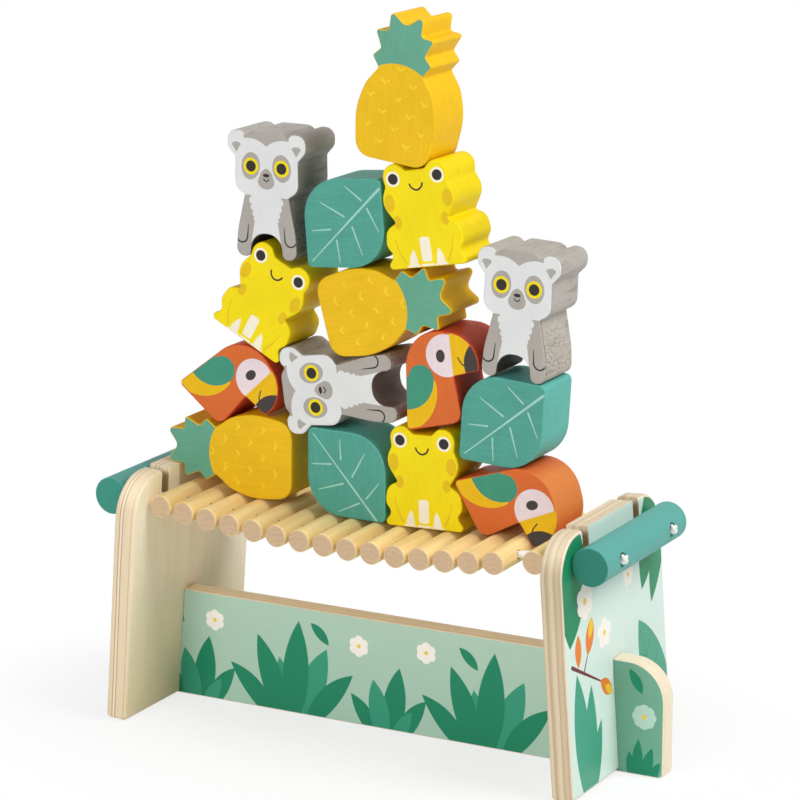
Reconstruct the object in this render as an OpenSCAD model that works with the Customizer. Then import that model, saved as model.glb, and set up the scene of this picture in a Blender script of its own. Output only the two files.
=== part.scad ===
// Stacking balance game: a slack bridge of wooden dowels on two cords, hung between
// two end panels, with a pile of flat wooden animal, leaf and fruit blocks on it.
// X runs along the bridge, Y is its depth (the blocks' faces look towards -Y), Z is up.
// The origin is on the table, under the middle of the bridge.

/* [End panels] */
// height of each end panel along its slope
panel_h = 110; // [90:1:130]
// depth of each end panel
panel_depth = 100; // [86:1:130]
// thickness of the end panels
panel_t = 10; // [8:0.5:14]
// clear distance between the end panels' inner faces on the table
panel_span = 206.8; // [204:0.2:240]
// lean of each end panel towards the middle, in degrees
panel_lean = 4.1; // [2:0.1:5]
// radius of the end panels' upper corners
panel_corner = 18; // [8:1:24]

/* [Cross panel] */
// height of the cross panel
cross_h = 49.3; // [42:0.1:56]
// thickness of the cross panel
cross_t = 10; // [8:0.5:14]
// length of each fin of the cross panel outside its end panel
fin_length = 20; // [14:1:30]
// height of the step where the panels lap into each other
lap_h = 34; // [24:1:38]

/* [Deck] */
// diameter of the deck's dowels
dowel_d = 10; // [8:0.5:10.5]
// length of the deck's dowels
dowel_length = 80; // [70:1:84]
// distance from one dowel's centre to the next
dowel_pitch = 11.45; // [11:0.05:12]
// how far the deck sags below its ends
deck_sag = 6.5; // [4:0.1:9]
// place of the deck's lowest point along the bridge
deck_low_x = 12; // [-10:1:20]

/* [Cords] */
// thickness of the two cords
cord_d = 3.2; // [2.4:0.1:3.4]
// how far below the end panels' top edge the cords lie
cord_drop = 12.3; // [10:0.1:16]
// distance between the two cords
cord_spacing = 50; // [40:1:56]
// diameter of the anchor bars
bar_d = 16.4; // [14:0.2:20]
// length of the anchor bars
bar_length = 80; // [70:1:96]

/* [Blocks] */
// height of a standing lemur block, which sets the size of every block
block_h = 54.4; // [50:0.2:56]
// thickness of every block
block_t = 26; // [20:1:30]

/* [Hidden] */
through = 400;          // longer than anything that it cuts
arc_tolerance = 0.05;   // how far a drawn arc may depart from the true one
seat = 0.1;             // clearance of two pieces that rest on each other
lap_gap = 0.3;          // clearance of the lapped panels
wood_facets = 96;       // facets of a turned rod, which is an exact cylinder in the solid
rim = 0.6;              // chamfer on the rods' ends
foot_corner = 2;        // radius of the panels' lower corners
fin_corner = 16.5;      // radius of the cross panel's upper corners

// cords and what they run through
cord_play = 0.8;                    // of a cord in its bore
slot_play = 2.8;                    // of a cord in its slot
knot_over = 1.4;                    // how much wider a knot is than its bore
cord_bore = cord_d + cord_play;
cord_bed = panel_h - cord_drop;     // height of the cords up the end panels' slope
slot_w = cord_d + slot_play;
knot_d = cord_bore + knot_over;
recess_d = knot_d + cord_play;
recess_depth = 2.5;
knot_proud = 2.4;
cord_ys = [-cord_spacing / 2, cord_spacing / 2];

// the deck hangs between the places where the cords leave the end panels' inner faces
face_x = panel_span / 2 - cord_bed * sin(panel_lean);
face_z = cord_bed * cos(panel_lean);
deck_end_gap = 2;
deck_half = face_x - deck_end_gap - dowel_d / 2;
deck_end_drop = 0.3;
deck_end_z = face_z - deck_end_drop;
deck_low = deck_end_z - deck_sag;
deck_top = deck_low + dowel_d / 2;

// the dowels stand close together, but for the place where a block dips between two
mid_dowel_x = deck_low_x + 1.6;
dip_after = 5;                      // dowels from the middle one to the dip
dip_width = 18.5;                   // between the dowels' centres at the dip
dip_x = mid_dowel_x + dip_after * dowel_pitch + dip_width;
left_dowels = floor((deck_half + mid_dowel_x + seat) / dowel_pitch);
outer_dowels = floor((deck_half - dip_x + seat) / dowel_pitch);
dowel_xs = [
    for (i = [-left_dowels : dip_after]) mid_dowel_x + i * dowel_pitch,
    for (i = [0 : outer_dowels]) dip_x + i * dowel_pitch];

function deck_end(x) = x < deck_low_x ? -deck_half : deck_half;
function deck_share(x) = (x - deck_low_x) / (deck_end(x) - deck_low_x);
function deck_z(x) = deck_low + (deck_end_z - deck_low) * pow(deck_share(x), 2);
function deck_slope(x) =
    atan(2 * (deck_end_z - deck_low) * deck_share(x) / (deck_end(x) - deck_low_x));

// anchor bars, placed on the end panels' own slope
bar_out = panel_t + seat + bar_d / 2;   // from the inner face to the bar's centre
knot_seat = panel_t + seat + bar_d - recess_depth + seat;

// a point of an end panel's own frame: along its normal, then up its slope
function on_panel(side, out, up) =
    [side * (panel_span / 2 + out * cos(panel_lean) - up * sin(panel_lean)),
     out * sin(panel_lean) + up * cos(panel_lean)];

// blocks, drawn at the size of a 55.4 mm high lemur
block_k = block_h / 55.4;
block_shift = -1;                       // the pile stands a little to the front

// outlines as corners [x, height, radius]; a half outline runs up the right-hand side
frog_half = [
    [20.6, 0, 1.8], [15.8, 6, 2.5], [18.8, 10, 5], [17.8, 17.2, 5], [12.6, 19.8, 0.8],
    [18.3, 28.6, 8], [15.1, 35.4, 1.5], [16.4, 44.8, 5.6], [7.9, 44.8, 3.8], [4.4, 41.6, 1.6]];
lemur_half = [
    [7.3, 10.7, 7], [7.9, 0, 3.1], [15.3, 0, 3.9], [14.4, 12, 30], [11, 27.3, 0.8],
    [15.9, 30.3, 5.5], [15.6, 43.4, 1.5], [19.4, 47.6, 4], [19.6, 55.3, 4.6],
    [12.4, 55.3, 3], [10.2, 53.2, 1.2], [7.4, 55.6, 5]];
pineapple_half = [
    [17, 0, 7.5], [19.6, 20, 30], [16.3, 31.3, 14], [10.8, 38.8, 1], [14.3, 43.6, 1.2],
    [10.6, 47.3, 1.2], [14.2, 54.8, 1.2], [8, 55.2, 1.5], [8, 64.6, 1.8], [0, 58.4, 3]];
leaf_side = 19.25;
leaf_outline = [
    [leaf_side, leaf_side, 17], [-leaf_side, leaf_side, 2.6],
    [-leaf_side, -leaf_side, 17], [leaf_side, -leaf_side, 2.6]];
parrot_outline = [
    [-14.3, -19.2, 2], [12.4, -12.4, 5], [8.2, 7.2, 0.8], [20, 11, 1],
    [19.7, 26, 14.2], [-15.4, 26.3, 16.5]];

// where each block stands: along the bridge from the deck's lowest point, height over
// the lowest dowel's top, turn in degrees; each rests on the deck or on blocks that
// come before it in this list
pile = [
    ["pineapple", "low", [-51.9, 21.8, 89]],
    ["leaf", "low", [-24.4, 19.8, -0.5]],
    ["frog", "low", [14, 0.7, 2]],
    ["parrot", "low", [50, 15.5, -74]],
    ["parrot", "left", [-85.5, 51.4, -54]],
    ["lemur", "low", [-0.9, 61, 97.5]],
    ["parrot", "mid", [19.7, 62.5, 0]],
    ["leaf", "right", [50.7, 52.2, 86.5]],
    ["frog", "left", [-75.3, 74.2, -28.5]],
    ["pineapple", "mid", [-35.5, 88.1, -75]],
    ["lemur", "right", [55.6, 71.4, -3]],
    ["lemur", "left", [-63.5, 111.9, -0.5]],
    ["leaf", "top", [-25.2, 130.8, 94.5]],
    ["frog", "right", [15.8, 115.9, 10]],
    ["pineapple", "top", [-2.7, 159, -7.5]]];

// the blocks of the bottom row, which carry the pile
foot_row = [for (i = [0 : 3]) pile[i]];
pile_seat = 0.2;

function mirrored(half) = concat(
    half, [for (i = [len(half) - 1 : -1 : 0]) if (half[i][0] > 0) [-half[i][0], half[i][1], half[i][2]]]);

function unit(v) = v / norm(v);
function flat(p) = [p[0], p[1]];
function arc_steps(turn, r) =
    max(1, ceil(abs(turn) / max(7, min(24, 2 * acos(1 - arc_tolerance / r)))));

// the points of one rounded corner, from the side that comes in to the side that leaves
function corner_arc(before, corner, after) =
    let (
        a = unit(flat(before) - flat(corner)),
        b = unit(flat(after) - flat(corner)),
        r = corner[2],
        half_angle = acos(a * b) / 2,
        reach = r / tan(half_angle),
        centre = flat(corner) + unit(a + b) * r / sin(half_angle),
        from = flat(corner) + a * reach - centre,
        to = flat(corner) + b * reach - centre,
        start = atan2(from[1], from[0]),
        raw = atan2(to[1], to[0]) - start,
        turn = raw > 180 ? raw - 360 : raw < -180 ? raw + 360 : raw,
        n = arc_steps(turn, r))
    [for (i = [0 : n]) centre + r * [cos(start + turn * i / n), sin(start + turn * i / n)]];

function rounded(p) = [
    for (i = [0 : len(p) - 1])
        each corner_arc(p[(i + len(p) - 1) % len(p)], p[i], p[(i + 1) % len(p)])];

function two_digits(i) = str(i < 10 ? "0" : "", i);

// a rod along Y with chamfered ends
module rod(length, d) {
    rotate([90, 0, 0])
        rotate_extrude($fn = wood_facets)
            polygon([
                [0, -length / 2], [d / 2 - rim, -length / 2], [d / 2, -length / 2 + rim],
                [d / 2, length / 2 - rim], [d / 2 - rim, length / 2], [0, length / 2]]);
}

// an end panel's frame: X out along its normal, Z up its slope
module on_end(side) {
    mirror([side < 0 ? 1 : 0, 0, 0])
        translate([panel_span / 2, 0, 0])
            rotate([0, -panel_lean, 0])
                children();
}

module end_panel_outline() {
    slot_r = slot_w / 2;
    slot_floor = cord_bed - cord_d / 2 - seat;
    difference() {
        polygon(rounded([
            [-panel_depth / 2, 0, foot_corner], [panel_depth / 2, 0, foot_corner],
            [panel_depth / 2, panel_h, panel_corner], [-panel_depth / 2, panel_h, panel_corner]]));
        for (y = cord_ys) {
            translate([y, slot_floor + slot_r])
                circle(r = slot_r, $fn = wood_facets);
            translate([y - slot_r, slot_floor + slot_r])
                square([slot_w, panel_h]);
        }
        translate([-cross_t / 2 - lap_gap / 2, -panel_h])
            square([cross_t + lap_gap, panel_h + lap_h + lap_gap]);
    }
}

module end_panel(side) {
    color([0.86, 0.78, 0.66])
        on_end(side)
            rotate([90, 0, 90])
                linear_extrude(panel_t)
                    end_panel_outline();
}

module end_panel_left() {
    end_panel(-1);
}

module end_panel_right() {
    end_panel(1);
}

module cross_panel() {
    half = panel_span / 2 + panel_t + fin_length;
    color([0.62, 0.78, 0.69])
        translate([0, cross_t / 2, 0])
            rotate([90, 0, 0])
                linear_extrude(cross_t)
                    difference() {
                        polygon(rounded([
                            [-half, 0, foot_corner], [half, 0, foot_corner],
                            [half, cross_h, fin_corner], [-half, cross_h, fin_corner]]));
                        for (side = [-1, 1])
                            mirror([side < 0 ? 1 : 0, 0])
                                translate([panel_span / 2, 0])
                                    rotate(panel_lean)
                                        translate([-lap_gap, lap_h])
                                            square([panel_t + 2 * lap_gap, cross_h]);
                    }
}

module anchor_bar(side) {
    color([0.41, 0.70, 0.66])
        on_end(side)
            translate([bar_out, 0, cord_bed])
                difference() {
                    rod(bar_length, bar_d);
                    for (y = cord_ys)
                        translate([0, y, 0])
                            rotate([0, 90, 0]) {
                                cylinder(d = cord_bore, h = through, center = true, $fn = wood_facets);
                                translate([0, 0, bar_d / 2 - recess_depth])
                                    cylinder(d = recess_d, h = through, $fn = wood_facets);
                            }
                }
}

module anchor_bar_left() {
    anchor_bar(-1);
}

module anchor_bar_right() {
    anchor_bar(1);
}

module dowel(x) {
    color([0.90, 0.78, 0.52])
        translate([x, 0, deck_z(x)])
            rotate([0, -deck_slope(x), 0])
                difference() {
                    rod(dowel_length, dowel_d);
                    for (y = cord_ys)
                        translate([0, y, 0])
                            rotate([0, 90, 0])
                                cylinder(d = cord_bore, h = through, center = true, $fn = wood_facets);
                }
}

// a cord's route as [x, z, radius]: a knot, the bar, the slot, the dowels, and back out
knot_len = recess_depth + knot_proud;
knot = [
    [knot_len, 0.15], [knot_len - 0.4, 0.6], [knot_len - 1.3, 0.93], [knot_len / 2, 1],
    [1.2, 0.95], [0.4, 0.75], [0, cord_d / knot_d]];
function knot_ring(side, k) =
    let (p = on_panel(side, knot_seat + knot[k][0], cord_bed)) [p[0], p[1], knot[k][1] * knot_d / 2];
function cord_ring(x, z) = [x, z, cord_d / 2];
function bar_rings(side) = [
    for (out = [bar_out, panel_t + 1, 1])
        let (p = on_panel(side, out, cord_bed)) cord_ring(p[0], p[1])];
function backwards(list) = [for (i = [len(list) - 1 : -1 : 0]) list[i]];
cord_rings = concat(
    [for (k = [0 : len(knot) - 1]) knot_ring(-1, k)],
    bar_rings(-1),
    [for (x = dowel_xs) cord_ring(x, deck_z(x))],
    backwards(bar_rings(1)),
    [for (k = [len(knot) - 1 : -1 : 0]) knot_ring(1, k)]);
cord_sides = 8;

// the direction of the cord at ring i
function cord_way(i) =
    let (last = len(cord_rings) - 1)
    unit(flat(cord_rings[min(i + 1, last)]) - flat(cord_rings[max(i - 1, 0)]));

module cord(y) {
    points = [
        for (i = [0 : len(cord_rings) - 1], s = [0 : cord_sides - 1])
            let (way = cord_way(i), r = cord_rings[i][2], a = 360 * s / cord_sides)
            [cord_rings[i][0] - way[1] * r * sin(a), y + r * cos(a), cord_rings[i][1] + way[0] * r * sin(a)]];
    last = (len(cord_rings) - 1) * cord_sides;
    walls = [
        for (i = [0 : len(cord_rings) - 2], s = [0 : cord_sides - 1])
            let (a = i * cord_sides + s, b = i * cord_sides + (s + 1) % cord_sides)
            [a, a + cord_sides, b + cord_sides, b]];
    ends = [
        [for (s = [0 : cord_sides - 1]) s],
        [for (s = [cord_sides - 1 : -1 : 0]) last + s]];
    color([0.93, 0.93, 0.92])
        polyhedron(points, concat(walls, ends));
}

module cord_front() {
    cord(cord_ys[0]);
}

module cord_rear() {
    cord(cord_ys[1]);
}

function outline(kind) = rounded(
    kind == "frog" ? mirrored(frog_half)
    : kind == "lemur" ? mirrored(lemur_half)
    : kind == "pineapple" ? mirrored(pineapple_half)
    : kind == "leaf" ? leaf_outline
    : parrot_outline);

// an outline in its place in the pile, before the pile is lowered onto the deck
function in_pile(kind, place) = [
    for (p = outline(kind))
        [deck_low_x + block_k * (place[0] + p[0] * cos(place[2]) - p[1] * sin(place[2])),
         deck_top + block_k * (place[1] + p[0] * sin(place[2]) + p[1] * cos(place[2]))]];

// the lowest height of an outline over x, or far above where it doesn't reach
function floor_at(points, x) = min(concat([through], [
    for (i = [0 : len(points) - 1])
        let (a = points[i], b = points[(i + 1) % len(points)])
        if (a[0] != b[0] && (a[0] - x) * (b[0] - x) <= 0)
            a[1] + (b[1] - a[1]) * (x - a[0]) / (b[0] - a[0])]));

// how far the pile moves up or down to stand on the dowels
pile_lift = pile_seat + max([
    for (entry = foot_row)
        let (points = in_pile(entry[0], entry[2]))
        for (x = dowel_xs, share = [-0.8 : 0.2 : 0.8])
            deck_z(x) + dowel_d / 2 * sqrt(1 - share * share) - floor_at(points, x + share * dowel_d / 2)]);

module frog() {
    color([0.93, 0.85, 0.10])
        block("frog");
}

module lemur() {
    color([0.80, 0.79, 0.77])
        block("lemur");
}

module pineapple() {
    color([0.91, 0.73, 0.20])
        block("pineapple");
}

module leaf() {
    color([0.31, 0.64, 0.55])
        block("leaf");
}

module parrot() {
    color([0.86, 0.43, 0.24])
        block("parrot");
}

module block(kind) {
    translate([0, block_shift + block_t / 2, 0])
        rotate([90, 0, 0])
            linear_extrude(block_t)
                scale(block_k)
                    polygon(outline(kind));
}

module block_in_pile(kind, place) {
    translate([deck_low_x + block_k * place[0], 0, deck_top + block_k * place[1] + pile_lift])
        rotate([0, -place[2], 0])
            if (kind == "frog") frog();
            else if (kind == "lemur") lemur();
            else if (kind == "pineapple") pineapple();
            else if (kind == "leaf") leaf();
            else parrot();
}

function block_name(entry) = str(entry[0], "_", entry[1]);

end_panel_left();
end_panel_right();
cross_panel();
anchor_bar_left();
anchor_bar_right();
cord_front();
cord_rear();
for (i = [1 : len(dowel_xs)])
    dowel(dowel_xs[i - 1]);
for (entry = pile)
    block_in_pile(entry[0], entry[2]);
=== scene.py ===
"""Stacking balance game: wooden blocks piled on a slack bridge of dowels between two end panels.

Finishes, rounded edges, cords, floor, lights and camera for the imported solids.
Lengths are metres; patterns and shaping work in millimetres, a block's on its own axes.
"""

from functools import reduce
from math import cos, hypot, pi, radians, sin
from operator import or_

import bmesh
import bpy
from mathutils import Matrix, Vector


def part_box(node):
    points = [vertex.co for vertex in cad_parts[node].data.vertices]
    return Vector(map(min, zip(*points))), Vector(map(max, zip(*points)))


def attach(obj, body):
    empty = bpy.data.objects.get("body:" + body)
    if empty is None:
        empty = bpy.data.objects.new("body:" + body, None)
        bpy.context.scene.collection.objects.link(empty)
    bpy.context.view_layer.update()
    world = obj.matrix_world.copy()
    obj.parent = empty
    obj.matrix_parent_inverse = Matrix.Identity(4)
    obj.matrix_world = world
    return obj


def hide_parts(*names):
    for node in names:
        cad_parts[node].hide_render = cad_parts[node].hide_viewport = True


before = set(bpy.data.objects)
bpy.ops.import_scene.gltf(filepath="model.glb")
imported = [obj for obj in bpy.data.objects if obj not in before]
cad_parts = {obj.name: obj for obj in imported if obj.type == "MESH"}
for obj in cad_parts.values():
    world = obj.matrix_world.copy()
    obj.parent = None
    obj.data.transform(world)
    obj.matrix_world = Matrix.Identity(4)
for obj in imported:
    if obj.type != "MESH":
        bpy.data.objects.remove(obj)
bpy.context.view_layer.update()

MM = 0.001
BODY = "root"

# Sizes that the solids have, in millimetres
PANEL_SPAN = 206.8
PANEL_LEAN = 4.1
PANEL_T = 10.0
CROSS_H = 49.3
CROSS_T = 10.0
CORD_BED = 97.7
CORD_D = 3.2
CORD_YS = (-25.0, 25.0)
BAR_D = 16.4
BAR_LENGTH = 80.0
DOWELS = 16
DOWEL_LENGTH = 80.0
BLOCK_FRONT = -14.0
BLOCK_REAR = 12.0
PLAY = 0.1
KNOT_RECESS = 2.5

# How far the rims are rounded, in millimetres
BLOCK_RIM = 0.8
PANEL_RIM = 1.8
CROSS_RIM = 0.9

# Slots and laps, whose edges stay sharp, in millimetres: half a width, and where they begin or end
NEAR = 0.05  # how close two planes are when they count as one
SLOT_HALF = 3.2
SLOT_FROM = 90.0
LAP_HALF = 5.4
LAP_TOP = 36.0
CROSS_LAP_X = (92.0, 116.0)
CROSS_LAP_FROM = 33.0

# The cords' strands and the knots' turns, in millimetres, and the points round a knot
CORD_STEP = 0.9
KNOT_STEPS = 72
KNOT_STRAND = 0.86
KNOT_TURN = 0.95
KNOT_SWING = 0.45
KNOT_LIFT = 0.35
KNOT_DEPTH = 0.9

# Where each block stands: along from the deck's lowest point, over the dowels' top, turn.
# The places and the prints are drawn for a lemur 55.4 high, which is 54.4 high in the solids.
BLOCK_SCALE = 54.4 / 55.4
DECK_LOW_X = 12.0
DECK_TOP = 95.71
PILE = {
    "pineapple_low": (-51.9, 21.8, 89),
    "leaf_low": (-24.4, 19.8, -0.5),
    "frog_low": (14.0, 0.7, 2),
    "parrot_low": (50.0, 15.5, -74),
    "parrot_left": (-85.5, 51.4, -54),
    "lemur_low": (-0.9, 61.0, 97.5),
    "parrot_mid": (19.7, 62.5, 0),
    "leaf_right": (50.7, 52.2, 86.5),
    "frog_left": (-75.3, 74.2, -28.5),
    "pineapple_mid": (-35.5, 88.1, -75),
    "lemur_right": (55.6, 71.4, -3),
    "lemur_left": (-63.5, 111.9, -0.5),
    "leaf_top": (-25.2, 130.8, 94.5),
    "frog_right": (15.8, 115.9, 10),
    "pineapple_top": (-2.7, 159.0, -7.5),
}


def srgb(r, g, b):
    """A colour given as on a screen, 0 to 255, as the shader wants it."""
    def linear(v):
        v /= 255
        return v / 12.92 if v <= 0.04045 else ((v + 0.055) / 1.055) ** 2.4
    return (linear(r), linear(g), linear(b), 1.0)


def union(masks):
    """One mask that covers what any of several cover."""
    return reduce(or_, masks)


# Finishes

class Val:
    """A number's socket in a finish, so that shader maths reads as an expression."""

    def __init__(self, finish, socket):
        self.finish = finish
        self.socket = socket

    def _do(self, operation, *values):
        return self.finish.math(operation, *values)

    def __add__(self, other):
        return self._do("ADD", self, other)

    def __mul__(self, other):
        return self._do("MULTIPLY", self, other)

    def __sub__(self, other):
        return self._do("SUBTRACT", self, other)

    def __rsub__(self, other):
        return self._do("SUBTRACT", other, self)

    def __abs__(self):
        return self._do("ABSOLUTE", self)

    def __or__(self, other):
        """A mask that covers what either of two covers."""
        return self._do("MAXIMUM", self, other)

    def __and__(self, other):
        """A mask that covers what both of two cover."""
        return self._do("MULTIPLY", self, other)


class Finish:
    """One material: a Principled shader and the nodes that feed it."""

    SOFT = 0.12  # width of a printed edge, in pattern millimetres

    def __init__(self, name, roughness=0.5, **constants):
        self.material = bpy.data.materials.new(name)
        self.material.use_nodes = True
        self.tree = self.material.node_tree
        self.shader = self.tree.nodes["Principled BSDF"]
        self.shader.inputs["Roughness"].default_value = roughness
        for key, value in constants.items():
            self.shader.inputs[key.replace("_", " ")].default_value = value

    def node(self, kind, settings=None, values=None, out=0):
        """A new node with its settings and inputs, as the value of one of its outputs."""
        made = self.tree.nodes.new(kind)
        for key, value in (settings or {}).items():
            if key == "stops":
                ramp = made.color_ramp
                while len(ramp.elements) < len(value):
                    ramp.elements.new(0.5)
                for element, (where, colour) in zip(ramp.elements, value):
                    element.position = where
                    element.color = colour
            else:
                setattr(made, key, value)
        for key, value in (values or {}).items():
            self.feed(made.inputs[key], value)
        return Val(self, made.outputs[out])

    def feed(self, socket, value):
        """Links a value to a socket, or sets the socket to a plain one."""
        if isinstance(value, Val):
            self.tree.links.new(value.socket, socket)
        elif socket.type == "VECTOR":
            socket.default_value = value[:3]
        else:
            socket.default_value = value

    def math(self, operation, *values, clamp=False):
        return self.node("ShaderNodeMath", {"operation": operation, "use_clamp": clamp},
                         dict(enumerate(values)))

    def vector(self, operation, *values, out=0):
        return self.node("ShaderNodeVectorMath", {"operation": operation}, dict(enumerate(values)), out)

    def mix(self, share, a, b):
        """Colour a, with b over it by a share from 0 to 1."""
        return self.node("ShaderNodeMix", {"data_type": "RGBA"}, {0: share, 6: a, 7: b}, out=2)

    def scaled(self, colour, k):
        """A colour made lighter or darker by a number."""
        return self.node("ShaderNodeVectorMath", {"operation": "SCALE"}, {0: colour, 3: k})

    def layers(self, colour, *painted):
        """A ground colour with pairs of mask and colour painted over it in turn."""
        for mask, over in painted:
            colour = self.mix(mask, colour, over)
        return colour

    # Places and patterns

    def local(self, x=0.0, z=0.0, turn=0.0, k=1.0):
        """Object coordinates in millimetres on axes at a place, turned about Y; k sizes them."""
        coords = self.node("ShaderNodeTexCoord", out=3)
        return self.node("ShaderNodeMapping", {"vector_type": "TEXTURE"},
                         {0: coords, 1: (x * MM, 0.0, z * MM), 2: (0.0, -radians(turn), 0.0),
                          3: (k * MM, MM, k * MM)})

    def split(self, vector):
        made = self.node("ShaderNodeSeparateXYZ", values={0: vector})
        return [Val(self, made.socket.node.outputs[i]) for i in range(3)]

    def join(self, x, y, z):
        return self.node("ShaderNodeCombineXYZ", values={0: x, 1: y, 2: z})

    def edge(self, distance, soft=None):
        """1 where a distance in millimetres is negative, 0 where it is positive."""
        return self.math("MULTIPLY_ADD", distance, -1.0 / (soft or self.SOFT), 0.5, clamp=True)

    def dot(self, v, n):
        """How far a place lies along a direction."""
        return self.vector("DOT_PRODUCT", v, n, out=1)

    def away(self, v, c):
        """Distance from a point of the flat pattern."""
        return self.vector("DISTANCE", v, (c[0], 0.0, c[1]), out=1)

    def disc(self, v, c, r):
        return self.edge(self.away(v, c) - r)

    def oval(self, v, c, rx, rz, turn=0.0):
        """An oval of two radii, turned about its middle by degrees."""
        unit = self.node("ShaderNodeMapping", {"vector_type": "TEXTURE"},
                         {0: v, 1: (c[0], 0.0, c[1]), 2: (0.0, -radians(turn), 0.0), 3: (rx, 1.0, rz)})
        size = self.vector("LENGTH", unit, out=1)
        return self.edge((size - 1.0) * min(rx, rz))

    def beyond(self, v, a, b):
        """1 on the left of the line from a to b."""
        dx, dz = b[0] - a[0], b[1] - a[1]
        n = (dz / hypot(dx, dz), 0.0, -dx / hypot(dx, dz))
        return self.edge(self.dot(v, n) - (n[0] * a[0] + n[2] * a[1]))

    def rounded_box(self, v, c, half, r):
        """A rectangle with round corners: half its sides without them, and their radius."""
        off = self.vector("ABSOLUTE", self.vector("SUBTRACT", v, (c[0], 0.0, c[1])))
        off = self.vector("SUBTRACT", off, (half[0], 0.0, half[1]))
        off = self.vector("MAXIMUM", off, (0.0, 0.0, 0.0))
        return self.edge(self.vector("LENGTH", off, out=1) - r)

    def stroke(self, v, a, b, w0, w1=None):
        """A straight stroke with round ends; w0 and w1 are half its width at a and at b."""
        ba = (b[0] - a[0], b[1] - a[1])
        k = ba[0] ** 2 + ba[1] ** 2
        along = self.math("ADD", self.dot(v, (ba[0] / k, 0.0, ba[1] / k)),
                          -(a[0] * ba[0] + a[1] * ba[1]) / k, clamp=True)
        foot = self.node("ShaderNodeVectorMath", {"operation": "SCALE"}, {0: (ba[0], 0.0, ba[1]), 3: along})
        off = self.away(self.vector("SUBTRACT", v, foot), a)
        width = w0 if w1 is None else self.math("MULTIPLY_ADD", along, w1 - w0, w0)
        return self.edge(off - width)

    def ring(self, v, c, r, half):
        """A circle's line; half is half the line's width."""
        return self.edge(abs(self.away(v, c) - r) - half)

    def lens(self, v, a, b, width, lean=0.0):
        """A pointed leaf from a to b; lean moves its belly to one side."""
        dx, dz = b[0] - a[0], b[1] - a[1]
        length = hypot(dx, dz)
        nx, nz = -dz / length, dx / length
        mid = ((a[0] + b[0]) / 2, (a[1] + b[1]) / 2)
        halves = []
        for side in (1, -1):
            bulge = side * width / 2 + lean
            r = (length ** 2 / 4 + bulge ** 2) / (2 * abs(bulge))
            s = 1 if bulge > 0 else -1
            c = (mid[0] + nx * (bulge - s * r), mid[1] + nz * (bulge - s * r))
            inside = self.disc(v, c, r)
            halves.append(inside if s == side else 1.0 - inside)
        return halves[0] & halves[1]

    def noise(self, vector, scale, detail=2.0, rough=0.5, stretch=(1.0, 1.0, 1.0)):
        """Smooth noise; a stretch below 1 draws it out along that axis."""
        if stretch != (1.0, 1.0, 1.0):
            vector = self.vector("MULTIPLY", vector, stretch)
        return self.node("ShaderNodeTexNoise", values={"Vector": vector, "Scale": scale, "Detail": detail,
                                                       "Roughness": rough})

    def span(self, value, low, high, to_low=0.0, to_high=1.0):
        """A value's way from low to high, told as one from to_low to to_high."""
        return self.node("ShaderNodeMapRange", values={0: value, 1: low, 2: high, 3: to_low, 4: to_high})

    def bump(self, height, distance, strength):
        """Relief from a height of 0 to 1, which stands for a distance in millimetres."""
        return self.node("ShaderNodeBump", values={"Strength": strength, "Distance": distance * MM,
                                                   "Height": height})

    def finish(self, colour, roughness=None, normal=None):
        """Connects the shader and gives the material."""
        self.feed(self.shader.inputs["Base Color"], colour)
        if roughness is not None:
            self.feed(self.shader.inputs["Roughness"], roughness)
        if normal is not None:
            self.feed(self.shader.inputs["Normal"], normal)
        return self.material


# Block finishes

def block_place(name):
    """Along, up and turn of a block in the toy's own axes, in millimetres and degrees."""
    x, z, turn = PILE[name]
    return DECK_LOW_X + x * BLOCK_SCALE, DECK_TOP + z * BLOCK_SCALE, turn


class BlockFinish(Finish):
    """Paint on a block: printed on its front and rear, plain round its sides."""

    def __init__(self, name, rim=0.12):
        """rim is how far in the print ends from the front and rear, in millimetres."""
        super().__init__(name + "_paint", roughness=0.5, Specular_IOR_Level=0.16)
        x, z, turn = block_place(name)
        self.at = self.local(x, z, turn, BLOCK_SCALE)
        self.x, self.y, self.z = self.split(self.at)
        self.flat = self.vector("MULTIPLY", self.at, (1.0, 0.0, 1.0))
        # the flat pattern with its left half folded onto the right one
        self.half = self.join(abs(self.x), 0.0, self.z)
        middle = (BLOCK_FRONT + BLOCK_REAR) / 2
        thick = (BLOCK_REAR - BLOCK_FRONT) / 2
        self.face = self.edge((thick - rim) - abs(self.y - middle), 0.08)
        # long grain up the block under a finely pebbled coat of paint
        self.grain = self.noise(self.at, 1.0, 4.0, 0.6, (0.9, 0.3, 0.07))
        self.pebble = self.noise(self.at, 1.1, 3.0, 0.6)
        self.cloud = self.noise(self.at, 0.06, 2.0)

    def painted(self, front, side, depth=0.05, lift=0.12):
        """Front and side colours under brush streaks; depth is their tone, lift their relief."""
        streaks = self.span(self.grain * 0.6 + self.pebble * 0.4, 0.35, 0.65, 1.0 - depth, 1.0 + depth * 0.6)
        clouds = self.span(self.cloud, 0.35, 0.65, 0.97, 1.03)
        colour = self.scaled(self.scaled(self.mix(self.face, side, front), streaks), clouds)
        rough = self.span(self.pebble, 0.3, 0.7, 0.42, 0.6)
        return self.finish(colour, rough, self.bump(self.grain * 0.5 + self.pebble, lift, 0.6))


def circle_through(a, b, c):
    """Centre and radius of the circle through three points."""
    (ax, az), (bx, bz), (cx, cz) = a, b, c
    d = 2 * (ax * (bz - cz) + bx * (cz - az) + cx * (az - bz))
    ux = ((ax**2 + az**2) * (bz - cz) + (bx**2 + bz**2) * (cz - az) + (cx**2 + cz**2) * (az - bz)) / d
    uz = ((ax**2 + az**2) * (cx - bx) + (bx**2 + bz**2) * (ax - cx) + (cx**2 + cz**2) * (bx - ax)) / d
    return (ux, uz), hypot(ax - ux, az - uz)


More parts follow.
